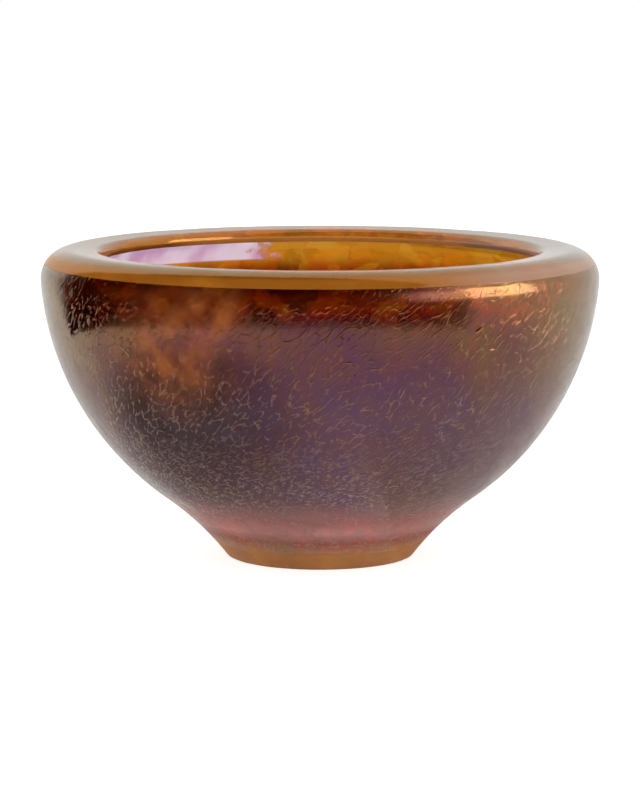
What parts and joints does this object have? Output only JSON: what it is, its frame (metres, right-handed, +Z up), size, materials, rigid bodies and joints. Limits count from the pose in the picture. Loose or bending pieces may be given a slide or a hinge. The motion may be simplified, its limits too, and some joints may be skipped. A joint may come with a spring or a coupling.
{
  "type": "art glass bowl",
  "caption": "Heavy round blown-glass bowl with a thick rolled lip on a small flared foot, amber with an iridescent, crinkled outside.",
  "frame": {"origin": "on the standing plane, at the bowl's axis", "axes": "+Z up along the bowl's axis; the bowl is turned, so +X and +Y are any two level directions"},
  "size_m": [0.2, 0.2, 0.1115],
  "materials": {
    "lip_glass": "clear amber glass, fire-polished smooth",
    "casing_glass": "amber casing glass with a crinkled, iridescent mauve to rose skin",
    "frit_colour": "mottled amber and dark brown frit, sealed in the wall",
    "lining_glass": "clear amber glass, smooth inside",
    "foot_glass": "amber glass with a pebbled rose sheen and a ground pontil"
  },
  "bodies": {
    "root": {"lip_wrap": "lip_glass", "outer_casing": "casing_glass", "frit_layer": "frit_colour", "inner_gather": "lining_glass", "foot_disc": "foot_glass"}
  },
  "joints": []
}
